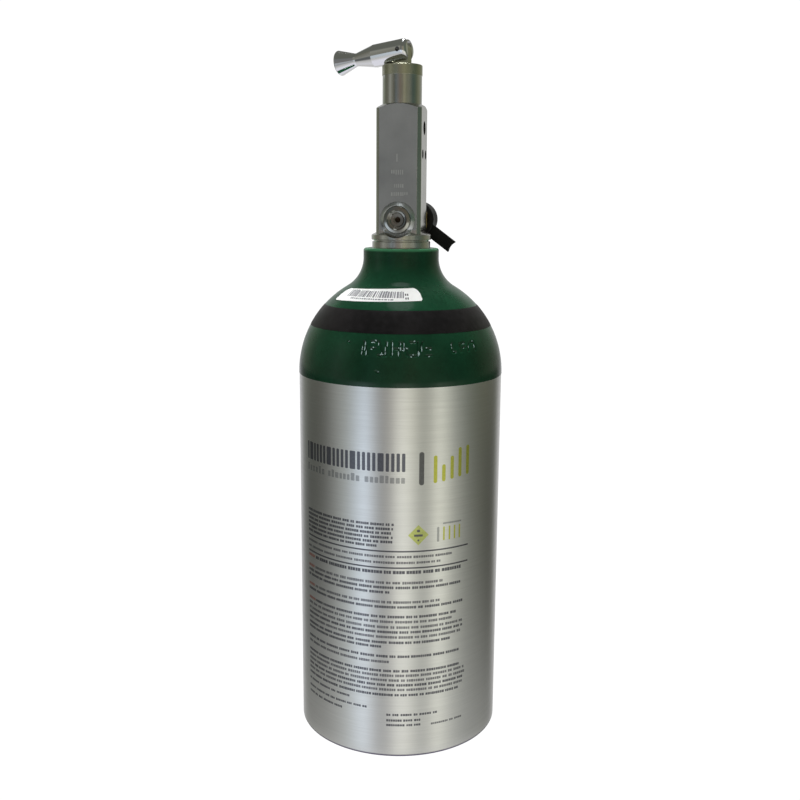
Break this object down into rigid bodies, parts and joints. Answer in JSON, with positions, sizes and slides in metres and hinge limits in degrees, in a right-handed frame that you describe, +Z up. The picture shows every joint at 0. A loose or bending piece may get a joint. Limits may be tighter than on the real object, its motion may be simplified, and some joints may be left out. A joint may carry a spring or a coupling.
{
  "type": "oxygen cylinder",
  "caption": "Small upright aluminium gas cylinder with a domed green shoulder and a slim plated post valve with a folding toggle lever, front safety plug and capped rear fill port.",
  "frame": {"origin": "centre of the ring the cylinder stands on, at the base underside", "axes": "+Z up along the cylinder's axis, +X out of the valve's outlet and pin-index face, -Y out of the safety plug's face, +Y out of the fill port's face"},
  "size_m": [0.1116, 0.1116, 0.3764],
  "materials": {
    "shell_aluminium": "brushed round, clear lacquer",
    "green_coat": "gloss",
    "black_coat": "satin",
    "label_paper": "satin",
    "plated_valve": "satin plated brass",
    "plated_nut": "turned",
    "chrome": "polished",
    "stainless": "drawn",
    "brass": "turned",
    "sintered_bronze": "sintered",
    "copper": "rolled",
    "black_rubber": "moulded",
    "ptfe": "machined"
  },
  "bodies": {
    "cylinder": {"cylinder_shell": "shell_aluminium", "shoulder_coating": "green_coat", "black_band": "black_coat", "barcode_label": "label_paper", "valve_body": "plated_valve", "neck_o_ring": "black_rubber", "dip_tube": "brass", "inlet_filter": "sintered_bronze", "gland_nut": "plated_nut", "thrust_washer": "stainless", "packing_rings": "ptfe", "packing_follower": "brass", "safety_plug": "chrome", "burst_disc": "copper", "burst_disc_gasket": "ptfe", "fill_nipple": "brass", "fill_nipple_seal": "ptfe", "fill_check_retainer": "brass", "fill_check_spring": "stainless", "nipple_o_ring": "black_rubber"},
    "spindle": {"valve_spindle": "plated_nut"},
    "seat_plug": {"seat_plug": "brass", "seat_insert": "ptfe"},
    "toggle": {"toggle_lever": "chrome", "toggle_pin": "stainless"},
    "fill_check": {"fill_check_poppet": "stainless"},
    "dust_cap": {"dust_cap": "black_rubber"}
  },
  "joints": [
    {"name": "spindle_turn", "type": "hinge", "parent": "cylinder", "child": "spindle", "pos_m": [0, 0, 0.35], "axis": [0, 0, 1], "range_deg": [0, 540]},
    {"name": "plug_lift", "type": "slide", "parent": "spindle", "child": "seat_plug", "axis": [0, 0, 1], "range_m": [0, 0.0023]},
    {"name": "toggle_fold", "type": "hinge", "parent": "spindle", "child": "toggle", "pos_m": [0, 0, 0.37075], "axis": [0.3256, 0.9455, 0], "range_deg": [0, 190]},
    {"name": "fill_check_push", "type": "slide", "parent": "cylinder", "child": "fill_check", "axis": [0, -1, 0], "range_m": [0, 0.0015], "stiffness_N_per_m": 400, "springref_m": -0.003, "deforming": ["fill_check_spring"]},
    {"name": "cap_pull", "type": "slide", "parent": "cylinder", "child": "dust_cap", "axis": [0, 1, 0], "range_m": [0, 0.035]}
  ],
  "couplings": [
    {"joint": "plug_lift", "follows": "spindle_turn", "m_per_rad": 0.00023873}
  ]
}
